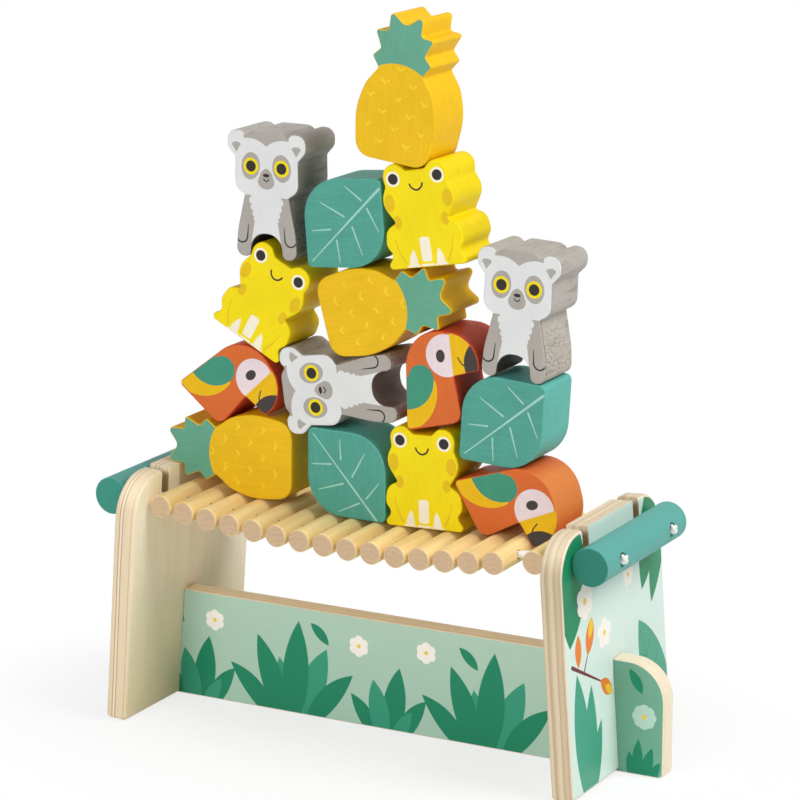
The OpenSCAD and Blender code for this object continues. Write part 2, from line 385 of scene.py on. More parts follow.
FROG_YELLOW = srgb(241, 217, 14)
FROG_SIDE = srgb(237, 210, 0)
FROG_OCHRE = srgb(226, 188, 24)
CREAM = srgb(243, 236, 212)
INK = srgb(50, 45, 43)


def frog_finish(name):
    f = BlockFinish(name)
    q = f.half
    eyes = (10.6, 38.4)
    smile = f.ring(q, (-0.3, 36.3), 3.4, 0.4) & f.edge(f.z - 35.9)
    belly = f.rounded_box(f.flat, (0.0, 7.6), (1.3, 4.1), 1.15)
    petals = f.lens(q, (6.0, 7.9), (6.5, -4.4), 3.9, 0.3) & f.edge(1.0 - f.z)
    petals = petals | (f.stroke(q, (4.4, 0.2), (8.8, 0.2), 1.1) & f.edge(f.z - 1.4))
    strip = f.edge(abs(f.z - 0.6) - 0.8) & f.edge(abs(f.x) - 2.9)
    legs = f.stroke(q, (13.9, 12.6), (12.6, 7.0), 0.24) | f.stroke(q, (12.6, 7.0), (10.2, 2.2), 0.34)
    front = f.layers(
        FROG_YELLOW,
        (f.oval(q, (13.9, 28.5), 2.4, 3.8), FROG_OCHRE),
        (f.oval(q, (11.4, 19.9), 2.0, 2.8), FROG_OCHRE),
        (legs, FROG_OCHRE),
        (belly | petals | strip, CREAM),
        (f.disc(q, eyes, 3.35), CREAM),
        (f.disc(q, eyes, 2.35), INK),
        (smile, INK))
    return f.painted(front, FROG_SIDE, 0.04)


LEMUR_WHITE = srgb(220, 221, 220)
LEMUR_GREY = srgb(170, 164, 157)
LEMUR_SIDE = srgb(186, 179, 169)
# painted shade for the upper sides and the tops
LEMUR_UPPER_SHADED = srgb(175, 170, 163)
LEMUR_PORE = srgb(118, 107, 96)
# near-black and dark brown painted shade for inside the arches
LEMUR_ARCH_SHADE = srgb(54, 50, 47)
LEMUR_ARCH_SHADE_BROWN = srgb(98, 80, 68)
LEMUR_EYE = srgb(236, 214, 24)
# painted shade that lemur_left has on its right side and on the ear there, and painted light on its top
LEMUR_LEFT_SHADE = 0.62
LEMUR_LEFT_EAR_SHADE = 0.85
LEMUR_LEFT_TOP_LIGHT = 1.15


def lemur_finish(name):
    f = BlockFinish(name, 0.3)
    q = f.half
    eye = (7.6, 39.9)
    ear = (f.beyond(q, (17.1, 48.9), (12.7, 48.9)) & f.beyond(q, (12.7, 48.9), (14.9, 45.5))
           & f.beyond(q, (14.9, 45.5), (17.1, 48.9)))
    ear = ear | f.oval(q, (14.9, 48.9), 2.2, 1.1)
    muzzle = f.oval(q, (0, 33.7), 4.1, 3.4) | f.lens(q, (0, 39.4), (0, 30.5), 6.8)
    cap = (1.0 - f.disc(q, *circle_through((0, 48.9), (4.6, 51.5), (11.0, 51.9)))) & f.edge(abs(f.x) - 11.2)
    cap = cap & f.edge(48.0 - f.z)
    # a white bib with a scalloped edge between the grey arms
    bib = f.edge(abs(f.x) - (abs(f.z - 16.5) * 0.17 + 5.7))
    scallops = (((6.6, 25.0), 1.9), ((6.3, 22.0), 1.5), ((5.7, 19.2), 1.3), ((5.2, 17.0), 1.1))
    bib = bib | union(f.disc(q, c, r) for c, r in scallops)
    arms = f.edge(f.z - 27.2) & (1.0 - bib)
    paws = f.ring(q, (12.1, 8.9), 2.75, 0.34) & f.edge(f.z - 8.9)
    paws = paws | f.stroke(q, (9.35, 8.8), (8.9, 14.4), 0.34, 0.14)
    smile = f.ring(q, (0, 35.1), 1.2, 0.26) & f.edge(f.z - 35.0)
    front = f.layers(
        LEMUR_WHITE,
        (cap, LEMUR_GREY), (ear, LEMUR_GREY), (arms, LEMUR_GREY),
        (f.oval(q, (7.7, 40.0), 4.6, 6.0, 8.0), LEMUR_GREY),
        (muzzle, LEMUR_GREY),
        (f.disc(q, eye, 3.7), LEMUR_EYE),
        (f.disc(q, eye, 2.45), INK),
        (f.oval(q, (0, 36.4), 1.6, 0.8), INK),
        (smile, INK), (paws, INK))
    # raw wood pores and streaks show through the thin grey stain of the sides
    pores = f.span(f.noise(f.at, 1.0, 3.0, 0.75, (1.6, 1.3, 1.0)), 0.52, 0.58)
    pores = pores * f.span(f.z, 22.0, 28.0, 1.0, 0.1)
    streaks = f.span(f.noise(f.at, 1.0, 3.0, 0.7, (0.9, 0.07, 0.6)), 0.52, 0.64) * 0.5
    patches = f.span(f.noise(f.at, 0.07, 2.0), 0.36, 0.54, 0.4, 0.95)
    # painted shade: the sides are darker from about halfway up and on the tops
    side = f.mix(f.span(f.z, 24.0, 34.0), LEMUR_SIDE, LEMUR_UPPER_SHADED)
    side = f.mix((pores | streaks) * patches, side, LEMUR_PORE)
    if name == "lemur_left":
        # painted light on top and painted shade on the right, deepest below the ear; thick is how deep the
        # shade is
        thick = f.span(f.z, 40.0, 46.0, LEMUR_LEFT_SHADE, LEMUR_LEFT_EAR_SHADE)
        side = f.scaled(side, f.span(f.x, 7.0, 11.0, LEMUR_LEFT_TOP_LIGHT, thick))
    # painted shade lies dark inside the arch; a dark line runs along the arms' front edge
    line = f.edge(abs((BLOCK_FRONT + 0.75) - f.y) - 0.22) & f.edge(f.z - 28.0) & f.edge(9.0 - abs(f.x))
    arch_shade = f.edge(abs(f.x) - 8.3, 0.6) & f.edge(f.z - 12.0, 0.6) & f.edge(1.2 - f.z, 1.0)
    arch_shade_colour = LEMUR_ARCH_SHADE_BROWN if name == "lemur_low" else LEMUR_ARCH_SHADE
    side = f.layers(side, (line * 0.6, INK), (arch_shade * 0.92, arch_shade_colour))
    return f.painted(front, side, 0.03, 0.1)


LEAF_FRONT = srgb(82, 158, 142)
LEAF_SIDE = srgb(95, 178, 166)
LEAF_VEIN = srgb(166, 212, 200)
LEAF_VEINS = (
    ((-2.7, 6.6), (-3.3, 15.6)), ((3.0, -0.4), (9.0, 10.6)), ((10.0, -9.4), (16.0, -1.9)),
    ((-7.5, 3.9), (-17.0, 2.9)), ((-1.5, -4.1), (-13.5, -8.2)), ((6.5, -11.9), (-3.5, -16.9)))


def leaf_finish(name):
    f = BlockFinish(name)
    middle = f.stroke(f.flat, (-16.5, 16.6), (15.0, -18.4), 0.22, 0.6)
    veins = middle | union(f.stroke(f.flat, root, tip, 0.42, 0.2) for root, tip in LEAF_VEINS)
    return f.painted(f.mix(veins * 0.85, LEAF_FRONT, LEAF_VEIN), LEAF_SIDE, 0.1)


PINEAPPLE_GOLD = srgb(233, 186, 26)
PINEAPPLE_CROWN = srgb(99, 163, 137)
PINEAPPLE_MARK = srgb(246, 211, 48)
PINEAPPLE_SIDE = srgb(238, 190, 12)


def pineapple_finish(name):
    f = BlockFinish(name)
    centre, radius = circle_through((-10.6, 39.5), (-0.6, 42.0), (10.9, 38.6))
    crown = (1.0 - f.disc(f.flat, centre, radius)) & f.edge(33.0 - f.z)

    def mark(dx, dz):
        """Small ticks that repeat across and up from a place."""
        u = abs(f.math("WRAP", f.x - dx, 6.5, -6.5))
        v = f.math("WRAP", f.z - dz, 6.4, -6.4)
        return f.edge(abs(v - u * 0.7) - (0.75 - u * 0.18)) & f.edge(u - 2.1)

    # the second set lies between the first
    marks = mark(0.0, 1.0) | mark(6.5, 7.4)
    worn = f.span(f.noise(f.flat, 0.45, 2.0), 0.36, 0.56, 0.25, 1.0)
    marks = marks * worn & f.edge(abs(f.x) - 14.5) & f.edge(4.0 - f.z)
    front = f.layers(PINEAPPLE_GOLD, (marks * 0.9, PINEAPPLE_MARK), (crown, PINEAPPLE_CROWN))
    return f.painted(front, PINEAPPLE_SIDE, 0.07, 0.22)


PARROT_ORANGE = srgb(213, 106, 48)
PARROT_SIDE = srgb(208, 78, 48)
PARROT_SIDE_PALE = srgb(218, 128, 62)
# a deeper red for painted shade on the parrot's side
PARROT_SIDE_SHADE_RED = srgb(214, 68, 34)
PARROT_PINK = srgb(231, 214, 218)
PARROT_YELLOW = srgb(232, 184, 20)
PARROT_GREEN = srgb(66, 146, 120)
PARROT_DARK = srgb(66, 60, 58)


def parrot_finish(name):
    f = BlockFinish(name)
    p = f.flat
    head = f.disc(p, (4.2, 15.8), 9.3)
    beak = (1.0 - f.beyond(p, (8.1, 6.0), (5.7, 26.0))) & f.disc(p, (3.2, 11.0), 16.9)
    beak = beak & f.beyond(p, (8.2, 7.4), (20.0, 11.2))
    tip = f.edge(f.away(p, (24.6, 14.0)) - 11.6)
    mouth = f.stroke(p, (10.0, 15.6), (12.0, 13.0), 0.3) | f.stroke(p, (12.0, 13.0), (13.6, 12.2), 0.3, 0.42)
    lower, lower_r = circle_through((-1.35, 4.5), (-5.0, -5.4), (-13.6, -9.8))
    wing = f.disc(p, (-7.4, 4.5), 6.05) & f.edge(4.5 - f.z)
    wing = wing | (f.disc(p, lower, lower_r) & f.edge(f.z - 4.6))
    outer, outer_r = circle_through((0.3, -1.0), (-2.5, -11.0), (-8.8, -17.2))
    tail = f.disc(p, outer, outer_r) & f.edge(f.z - 4.4)
    tail = tail & f.beyond(p, (-14.3, -18.3), (12.4, -11.5))
    front = f.layers(
        PARROT_ORANGE,
        (tail, PARROT_YELLOW), (wing, PARROT_GREEN),
        (head, PARROT_PINK), (beak, PARROT_YELLOW), (beak & tip, PARROT_DARK),
        (mouth, PARROT_DARK),
        (f.oval(p, (1.8, 15.4), 2.1, 2.8), PARROT_DARK))
    side = PARROT_SIDE
    if name == "parrot_low":
        # painted shade: the side runs from orange over the crown to a deeper red at the beak and the back
        side = f.mix(f.span(abs(f.x - 1.0), 9.0, 19.0), PARROT_SIDE_PALE, PARROT_SIDE_SHADE_RED)
    return f.painted(front, side, 0.06)


BLOCK_FINISHES = {"frog": frog_finish, "lemur": lemur_finish, "leaf": leaf_finish,
                  "pineapple": pineapple_finish, "parrot": parrot_finish}


# Wood finishes

BIRCH = srgb(252, 242, 216)
BIRCH_DARK = srgb(248, 236, 206)
# painted shade for the foot of the birch faces
BIRCH_FOOT_SHADE = srgb(222, 206, 165)
PLY_LIGHT = srgb(232, 212, 178)
PLY_PALE = srgb(242, 228, 202)
PLY_TAN = srgb(196, 162, 124)
PLY_LINE = srgb(188, 148, 114)
PLY_SHADE = srgb(212, 190, 154)
# ply layers over a sheet's thickness, each as (share where it begins, colour)
LEFT_LAYERS = ((0.0, PLY_LINE), (0.04, PLY_LIGHT), (0.28, PLY_LINE), (0.33, PLY_PALE), (0.43, PLY_LINE),
               (0.48, PLY_LIGHT), (0.86, PLY_TAN), (0.89, PLY_LIGHT))
RIGHT_LAYERS = ((0.0, PLY_SHADE), (0.1, PLY_LIGHT), (0.24, PLY_TAN), (0.36, PLY_SHADE), (0.44, PLY_LIGHT),
                (0.62, PLY_TAN), (0.70, PLY_SHADE), (0.88, PLY_LINE), (0.94, PLY_PALE))
CROSS_LAYERS = ((0.0, PLY_LINE), (0.06, PLY_TAN), (0.24, PLY_PALE), (0.38, PLY_LINE), (0.42, PLY_LIGHT),
                (0.60, PLY_TAN), (0.64, PLY_PALE), (0.80, PLY_LIGHT), (0.94, PLY_LINE))


def ply_edge(f, depth, at, stretch, layers, strength, blur):
    """Colour and streaks of a cut plywood edge; depth runs from 0 to the sheet's thickness."""
    wave = f.noise(at, 0.03, 2.0) * 0.8 - 0.4
    stops = []
    for (where, colour), before in zip(layers, (None,) + layers[:-1]):
        if before:
            stops.append((where - blur, before[1]))
        stops.append((where + blur if before else 0.0, colour))
    bands = f.node("ShaderNodeValToRGB", {"stops": stops}, {0: (depth + wave) * (1.0 / PANEL_T)})
    streaks = f.noise(at, 1.0, 4.0, 0.7, stretch)
    bands = f.mix(strength, PLY_PALE, bands)
    return f.scaled(bands, f.span(streaks, 0.3, 0.7, 0.94, 1.03)), streaks


def birch_face(f, at):
    """Colour and grain of a birch face with faint upright figure."""
    grain = f.noise(at, 1.0, 5.0, 0.62, (0.4, 0.42, 0.02))
    figure = f.noise(at, 1.0, 2.0, 0.5, (0.06, 0.07, 0.012))
    colour = f.mix(f.span(figure, 0.35, 0.65), BIRCH, BIRCH_DARK)
    return f.scaled(colour, f.span(grain, 0.3, 0.7, 0.965, 1.02)), grain


MINT = srgb(212, 231, 222)
MINT_LEAF = srgb(70, 158, 130)
MINT_LEAF_DARK = srgb(30, 134, 92)
PETAL = srgb(246, 240, 230)
STALK = srgb(112, 50, 58)
BUD = srgb(228, 128, 50)
BUD_TIP = srgb(240, 196, 48)
FLOWER_EYE = srgb(236, 205, 70)
CHAR = srgb(176, 138, 88)


def flower(f, v, c, r, petals):
    """Masks of a flower's round petals and of its eye."""
    round_petals = []
    for k in range(petals):
        a = radians(90 + 360 / petals * k)
        middle = (c[0] + 0.58 * r * cos(a), c[1] + 0.58 * r * sin(a))
        round_petals.append(f.disc(v, middle, 0.44 * r))
    return union(round_petals), f.disc(v, c, 0.2 * r)


def flowers(f, v, several):
    """Masks of the petals and of the eyes of flowers, each given as middle, radius, petals."""
    petals, eyes = zip(*(flower(f, v, *one) for one in several))
    return union(petals), union(eyes)


def blades(f, v, tips, root=(0.0, -7.0), fat=0.3):
    """A tuft of pointed blades from one root; fat is their width over their length."""
    tuft = []
    for x, z in tips:
        start = (root[0] + 0.22 * x, root[1])
        tuft.append(f.lens(v, start, (x, z), fat * hypot(x - start[0], z - start[1]), 0.05 * x))
    return union(tuft)


def end_panel_print(f, v):
    """Leaves, flowers and a sprig on the print's own axes: across as seen from outside, and up."""
    broad = f.lens(v, (46, -8), (22, 58), 25, -3)
    ribs = (((37, 18), (46, 30)), ((33, 30), (40, 40)), ((38, 14), (28, 20)), ((33, 29), (23, 34)),
            ((29, 41), (34, 49)), ((29, 40), (22, 43)))
    rib = f.stroke(v, (44, 0), (23, 54), 0.5, 0.2)
    rib = rib | union(f.stroke(v, root, tip, 0.35, 0.15) for root, tip in ribs)
    falling = union((f.lens(v, (40, 116), (27, 70), 17, 2), f.lens(v, (54, 104), (36, 62), 13, -1),
                     f.lens(v, (-38, 120), (-45, 64), 25, 2)))
    low = blades(f, f.vector("SUBTRACT", v, (-34.0, 0.0, 0.0)), ((-6, 52), (7, 44), (15, 27)), fat=0.24)
    petals, eyes = flowers(f, v, (((-29, 80), 7.5, 6), ((-12, 62), 6.5, 5), ((14, 80), 5.0, 5)))
    stalk = f.stroke(v, (-44, 56), (-16, 42), 0.9, 0.35) | f.stroke(v, (-33, 51), (-27, 60), 0.5, 0.3)
    buds = union((f.lens(v, (-29, 57), (-23, 72), 7.5), f.lens(v, (-18, 43), (-7, 35), 6.5),
                  f.lens(v, (-38, 54), (-37, 68), 6.0)))
    bud_tips = f.lens(v, (-26.4, 63.5), (-23, 72), 4.2) | f.lens(v, (-13.5, 39.6), (-7, 35), 3.8)
    return f.layers(
        MINT, (falling, MINT_LEAF_DARK), (low, MINT_LEAF), (broad, MINT_LEAF), (rib, MINT_LEAF_DARK),
        (petals, PETAL), (eyes, FLOWER_EYE), (stalk, STALK), (buds, BUD), (bud_tips, BUD_TIP))


def end_panel_finish(side):
    """Birch inside, print outside, cut layers between; side is -1 for left and 1 for right."""
    f = Finish("end_panel_plywood" + ("_left" if side < 0 else "_right"), roughness=0.45,
               Specular_IOR_Level=0.2)
    at = f.local(side * PANEL_SPAN / 2, 0, side * PANEL_LEAN)
    x, y, z = f.split(at)
    out = x * side
    wood, grain = birch_face(f, at)
    # painted shade: the inner face darkens and warms towards its foot
    wood = f.mix(f.span(z, 8.0, 62.0, 0.75, 0.0), wood, BIRCH_FOOT_SHADE)
    if side > 0:
        depth, layers, blur = out, RIGHT_LAYERS, 0.028
        shown_below, shown_on_top = 0.75, 0.5
        low_painted_light, corner_painted_light, top_painted_light = 0.86, 0.79, 1.0
    else:
        depth, layers, blur = PANEL_T - out, LEFT_LAYERS, 0.016
        shown_below, shown_on_top = 0.95, 0.7
        low_painted_light, corner_painted_light, top_painted_light = 1.0, 1.0, 1.18
    # the layers show less on the sanded top
    shown = f.span(z, 98.0, 104.0, shown_below, shown_on_top)
    edge, streaks = ply_edge(f, depth, at, (2.5, 0.5, 0.05), layers, shown, blur)
    # painted light and shade on the cut edges: the right panel's darker below its top, the left panel's
    # lighter on top
    edge = f.scaled(edge, f.span(z, 66.0, 86.0, low_painted_light, corner_painted_light))
    edge = f.scaled(edge, f.span(z, 96.0, 104.0, 1.0, top_painted_light / corner_painted_light))
    inner = f.edge(out - 0.35, 0.3)
    outer = f.edge((PANEL_T - 0.12) - out, 0.1)
    print_colour = end_panel_print(f, f.join(y * side, 0.0, z))
    # the narrow slots are darker where they were cut
    slots = f.edge(abs(abs(y) - CORD_YS[1]) - 3.15, 0.1) & f.edge(94.0 - z, 0.5) & f.edge(z - 107.5, 2.0)
    slots = slots & f.edge(abs(out - PANEL_T / 2) - (PANEL_T / 2 - 0.05), 0.05)
    edge = f.mix(slots * 0.75, edge, CHAR)
    colour = f.layers(edge, (inner, wood), (outer, print_colour))
    colour = f.scaled(colour, f.span(grain, 0.3, 0.7, 0.985, 1.01))
    return f.finish(colour, f.span(outer, 0.0, 1.0, 0.58, 0.4), f.bump(grain + streaks * 0.5, 0.08, 0.5))


TUFT_GROUND = srgb(172, 203, 185)
TUFT_DARK = srgb(30, 132, 98)
TUFT_MID = srgb(56, 152, 122)
FIN_SAGE = srgb(112, 166, 142)
FIN_PETAL = srgb(184, 212, 196)


def middle_print(f, x, z):
    """Tufts in two sizes, with drifting leaves and flowers between them."""
    def repeat(step, shift):
        return f.join(f.math("WRAP", x - shift, step / 2, -step / 2), 0.0, z)

    tall = repeat(96.0, -45.0)
    back_blades = blades(f, tall, ((-31, 19), (-17, 34), (4, 43), (31, 22)), fat=0.26)
    front_blades = blades(f, tall, ((-6, 25), (18, 32)), (0, -8), 0.3)
    short = repeat(96.0, 3.0)
    short_back = blades(f, short, ((-18, 14), (6, 29), (19, 16)), fat=0.3)
    short_front = blades(f, short, ((-7, 22), (12, 10)), (0, -8), 0.32)
    v = f.join(x, 0.0, z)
    drifting = union(f.lens(v, (shift - 5, 43), (shift + 4, 34), 4.6, 0.4) for shift in (-104, -30, 43))
    petals, eyes = flowers(f, v, [(c, 4.8, 6) for c in ((-84, 37), (-11, 36), (22, 38), (86, 36))])
    return f.layers(
        TUFT_GROUND, (short_back, TUFT_DARK), (short_front, TUFT_MID), (front_blades, TUFT_MID),
        (back_blades, TUFT_DARK), (drifting, TUFT_DARK), (petals, PETAL), (eyes, FLOWER_EYE))


def fin_print(f, x, z):
    """A tuft, a flower and a leaf on each fin, the same on both."""
    v = f.join(abs(x), 0.0, z)
    petals, eye = flower(f, v, (124.6, 26.0), 5.4, 8)
    tuft = union(f.lens(v, (foot, -4), tip, width, 0.3) for foot, tip, width in (
        (120.5, (118.0, 10), 4.2), (122.0, (122.2, 16), 5.0), (124.5, (128.4, 13), 5.0),
        (127.0, (132.0, 7), 4.0)))
    leaf = f.lens(v, (117.5, 46), (123.5, 36), 4.4, 0.3)
    return f.layers(FIN_SAGE, (tuft | leaf, TUFT_DARK), (petals, FIN_PETAL), (eye, FLOWER_EYE))


def cross_panel_finish():
    """Print on both faces, with the fins' own beyond the end panels, and cut layers between."""
    f = Finish("cross_panel_plywood", roughness=0.42, Specular_IOR_Level=0.2)
    at = f.local()
    x, y, z = f.split(at)
    fin = f.edge(PANEL_SPAN / 2 + 3 - abs(x), 0.2)
    # the layers are all but sanded away round the fins
    shown = 0.35 - fin * 0.2
    edge, streaks = ply_edge(f, y + CROSS_T / 2, at, (0.05, 2.5, 0.5), CROSS_LAYERS, shown, 0.02)
    # painted light: the cut edges are lightened, except round the fins
    edge = f.scaled(edge, 1.08 - fin * 0.08)
    face = f.edge((CROSS_T / 2 - 0.12) - abs(y), 0.1)
    print_colour = f.mix(fin, middle_print(f, x, z), fin_print(f, x, z))
    colour = f.layers(edge, (face, print_colour))
    grain = f.noise(at, 1.0, 4.0, 0.6, (0.02, 0.4, 0.4))
    colour = f.scaled(colour, f.span(grain, 0.3, 0.7, 0.985, 1.012))
    return f.finish(colour, f.span(face, 0.0, 1.0, 0.58, 0.4), f.bump(streaks, 0.06, 0.4))


BAR_TEAL = srgb(90, 166, 157)
BAR_END = srgb(46, 124, 107)
BAR_END_PALE = srgb(62, 146, 128)


def anchor_bar_finish():
    """Teal paint, darker and speckled on the end grain."""
    f = Finish("anchor_bar_paint", roughness=0.5, Specular_IOR_Level=0.2)
    at = f.local()
    x, y, _ = f.split(at)
    grain = f.noise(at, 1.0, 4.0, 0.6, (0.5, 0.04, 0.5))
    ends = f.edge((BAR_LENGTH / 2 - 0.35) - abs(y), 0.2)
    speckle = f.noise(at, 0.9, 5.0, 0.7)
    end_colour = f.scaled(f.mix(f.edge(x), BAR_END, BAR_END_PALE), f.span(speckle, 0.3, 0.7, 0.86, 1.1))
    side_colour = f.scaled(BAR_TEAL, f.span(grain, 0.3, 0.7, 0.95, 1.04))
    return f.finish(f.mix(ends, side_colour, end_colour), f.span(grain, 0.3, 0.7, 0.42, 0.58),
                    f.bump(grain, 0.08, 0.5))


DOWEL_SIDE = srgb(248, 222, 160)
DOWEL_SIDE_DARK = srgb(232, 199, 136)
DOWEL_END = srgb(212, 184, 150)
DOWEL_END_DARK = srgb(191, 160, 126)
DOWEL_RIM = srgb(232, 204, 160)


def dowel_finish(number, centre):
    """Raw turned wood; each dowel is cut from another place in the plank, centre in metres."""
    f = Finish(f"dowel_wood_{number:02d}", roughness=0.6, Specular_IOR_Level=0.2)
    at = f.local(centre[0] / MM, centre[2] / MM)
    _, y, _ = f.split(at)
    moved = f.vector("ADD", at, (17.0 * number, 53.0 * number, 29.0 * number))
    grain = f.noise(moved, 1.0, 4.0, 0.65, (0.9, 0.03, 0.9))
    figure = f.noise(moved, 1.0, 2.0, 0.5, (0.22, 0.012, 0.22))
    side = f.mix(f.span(figure, 0.35, 0.65), DOWEL_SIDE, DOWEL_SIDE_DARK)
    side = f.scaled(side, f.span(grain, 0.3, 0.7, 0.94, 1.04))
    flat = f.vector("MULTIPLY", at, (1.0, 0.0, 1.0))
    pith = ((number * 7) % 11 - 5.0, 0.0, (number * 5) % 13 - 18.0)
    rings = f.math("SINE", (f.vector("DISTANCE", flat, pith, out=1) + figure * 3.0) * 2.6)
    pores = f.noise(moved, 2.4, 5.0, 0.85, (1.0, 0.1, 1.0))
    end = f.mix(f.span(pores, 0.38, 0.62), DOWEL_END, DOWEL_END_DARK)
    end = f.scaled(end, f.span(rings, -1.0, 1.0, 0.97, 1.03))
    end = f.mix(f.edge(4.35 - f.away(flat, (0.0, 0.0)), 0.4) * 0.32, end, DOWEL_RIM)
    ends = f.edge((DOWEL_LENGTH / 2 - 0.3) - abs(y), 0.2)
    return f.finish(f.mix(ends, side, end), None, f.bump(grain + pores * 0.4, 0.1, 0.5))


CORD_WHITE = srgb(240, 239, 234)


def cord_finish():
    f = Finish("cord_white", roughness=0.85, Sheen_Weight=0.3, Sheen_Roughness=0.5)
    at = f.local()
    fuzz = f.noise(at, 3.0, 4.0, 0.7)
    colour = f.scaled(CORD_WHITE, f.span(fuzz, 0.3, 0.7, 0.9, 1.02))
    return f.finish(colour, None, f.bump(fuzz, 0.12, 0.6))


# Shaping

def select_only(obj):
    bpy.ops.object.select_all(action="DESELECT")
    obj.select_set(True)
    bpy.context.view_layer.objects.active = obj


def dress(obj, material):
    """Gives a piece one material in place of those that it had."""
    obj.data.materials.clear()
    obj.data.materials.append(material)


def round_block(node):
    """Rounds a solid's rims with live modifiers; its own mesh stays as packed."""
    weld = node.modifiers.new("weld", "WELD")
    weld.merge_threshold = 1e-6
    flatten = node.modifiers.new("flat_faces", "DECIMATE")
    flatten.decimate_type = "DISSOLVE"
    flatten.angle_limit = radians(1)
    rim = node.modifiers.new("rounded_rims", "BEVEL")
    rim.limit_method = "ANGLE"
    rim.angle_limit = radians(60)
    rim.width = BLOCK_RIM * MM
    rim.segments = 3
    rim.use_clamp_overlap = False
    even = node.modifiers.new("even_shading", "WEIGHTED_NORMAL")
    even.keep_sharp = True


def merged_copy(node_name, name):
    """A welded copy of a CAD node, with its flat faces whole, that stands for the node."""
    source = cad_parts[node_name]
    copy = bpy.data.objects.new(name, source.data.copy())
    bpy.context.scene.collection.objects.link(copy)
    select_only(copy)
    bpy.ops.object.mode_set(mode="EDIT")
    bpy.ops.mesh.select_all(action="SELECT")
    bpy.ops.mesh.remove_doubles(threshold=1e-6)
    bpy.ops.mesh.customdata_custom_splitnormals_clear()
    bpy.ops.mesh.dissolve_limited(angle_limit=radians(1))
    bpy.ops.mesh.select_all(action="DESELECT")
    bpy.ops.object.mode_set(mode="OBJECT")
    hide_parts(node_name)
    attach(copy, BODY)
    return copy


def bevel_edges(obj, wanted, width):
    """Rounds the edges whose two ends both pass the test, which gets a point in millimetres."""
    select_only(obj)
    bpy.ops.object.mode_set(mode="EDIT")
    bpy.ops.mesh.select_mode(type="EDGE")
    bpy.ops.mesh.select_all(action="DESELECT")
    mesh = bmesh.from_edit_mesh(obj.data)
    for e in mesh.edges:
        a, b = (v.co / MM for v in e.verts)
        e.select = len(e.link_faces) == 2 and e.calc_face_angle() > radians(45) and wanted(a, b)
    mesh.select_flush_mode()
    bmesh.update_edit_mesh(obj.data)
    bpy.ops.mesh.bevel(offset=width * MM, segments=4, profile=0.5, clamp_overlap=False)
    bpy.ops.object.mode_set(mode="OBJECT")
    bpy.ops.object.shade_smooth_by_angle(angle=radians(32))


def shape_end_panel(side):
    word = "left" if side < 0 else "right"
    panel = merged_copy("end_panel_" + word, "end_panel_" + word + "_rounded")
    lean = radians(PANEL_LEAN)

    def own(p):
        """Out along the panel's normal, across, and up its slope."""
        x, z = side * p.x - PANEL_SPAN / 2, p.z
        return x * cos(lean) + z * sin(lean), p.y, -x * sin(lean) + z * cos(lean)

    def rim(a, b):
        """Whether an edge runs round a face and is no part of a slot or the lap."""
        (oa, ya, ua), (ob, yb, ub) = own(a), own(b)
        ends = ((ya, ua), (yb, ub))
        on_face = abs(oa - ob) < NEAR and min(abs(oa), abs(oa - PANEL_T)) < NEAR
        at_slot = all(abs(abs(y) - CORD_YS[1]) < SLOT_HALF and u > SLOT_FROM for y, u in ends)
        at_lap = all(abs(y) < LAP_HALF and u < LAP_TOP for y, u in ends)
        return on_face and not at_slot and not at_lap

    bevel_edges(panel, rim, PANEL_RIM)
    dress(panel, end_panel_finish(side))


def shape_cross_panel():
    panel = merged_copy("cross_panel", "cross_panel_rounded")

    def rim(a, b):
        """Whether an edge runs round a face and is no part of a lap."""
        low, high = CROSS_LAP_X
        on_face = abs(a.y - b.y) < NEAR and abs(abs(a.y) - CROSS_T / 2) < NEAR
        at_lap = all(low < abs(p.x) < high and p.z > CROSS_LAP_FROM for p in (a, b))
        on_top = all(abs(p.z - CROSS_H) < 2 * NEAR for p in (a, b))
        return on_face and (on_top or not at_lap)

    bevel_edges(panel, rim, CROSS_RIM)
    dress(panel, cross_panel_finish())


# Cords

def on_panel(side, out, up):
    """A point out from a panel's inner face and up its slope, in millimetres."""
    lean = radians(PANEL_LEAN)
    return Vector((side * (PANEL_SPAN / 2 + out * cos(lean) - up * sin(lean)), 0.0,
                   out * sin(lean) + up * cos(lean)))


def dowel_centres():
    """The dowels' middles in millimetres, from left to right."""
    for number in range(1, DOWELS + 1):
        low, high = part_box(f"dowel_{number:02d}")
        yield (low + high) / 2 / MM


BAR_OUT = PANEL_T + PLAY + BAR_D / 2
KNOT_SEAT = PANEL_T + PLAY + BAR_D - KNOT_RECESS + PLAY


def sweep(name, path, radius, sides, twist, strands, depth):
    """A closed tube along points in millimetres, with grooves that wind between its strands.

    The strands wind by twist / strands radians a millimetre; depth is the grooves' share of
    the radius.
    """
    mesh = bmesh.new()
    rings = []
    run = 0.0
    up = Vector((0, 1, 0))
    for i, p in enumerate(path):
        way = (path[min(i + 1, len(path) - 1)] - path[max(i - 1, 0)]).normalized()
        side_way = way.cross(up).normalized()
        up = side_way.cross(way).normalized()
        if i:
            run += (p - path[i - 1]).length
        ring = []
        for s in range(sides):
            a = 2 * pi * s / sides
            strand = abs(cos(strands * a / 2 + twist * run / 2))
            r = radius * (1.0 - depth + depth * strand)
            ring.append(mesh.verts.new((p + side_way * (r * cos(a)) + up * (r * sin(a))) * MM))
        rings.append(ring)
    for one, two in zip(rings, rings[1:]):
        for s in range(sides):
            t = (s + 1) % sides
            mesh.faces.new((one[s], one[t], two[t], two[s]))
    mesh.faces.new(list(reversed(rings[0])))
    mesh.faces.new(rings[-1])
    bmesh.ops.recalc_face_normals(mesh, faces=mesh.faces)
    data = bpy.data.meshes.new(name)
    mesh.to_mesh(data)
    mesh.free()
    for polygon in data.polygons:
        polygon.use_smooth = True
    made = bpy.data.objects.new(name, data)
    bpy.context.scene.collection.objects.link(made)
    return made


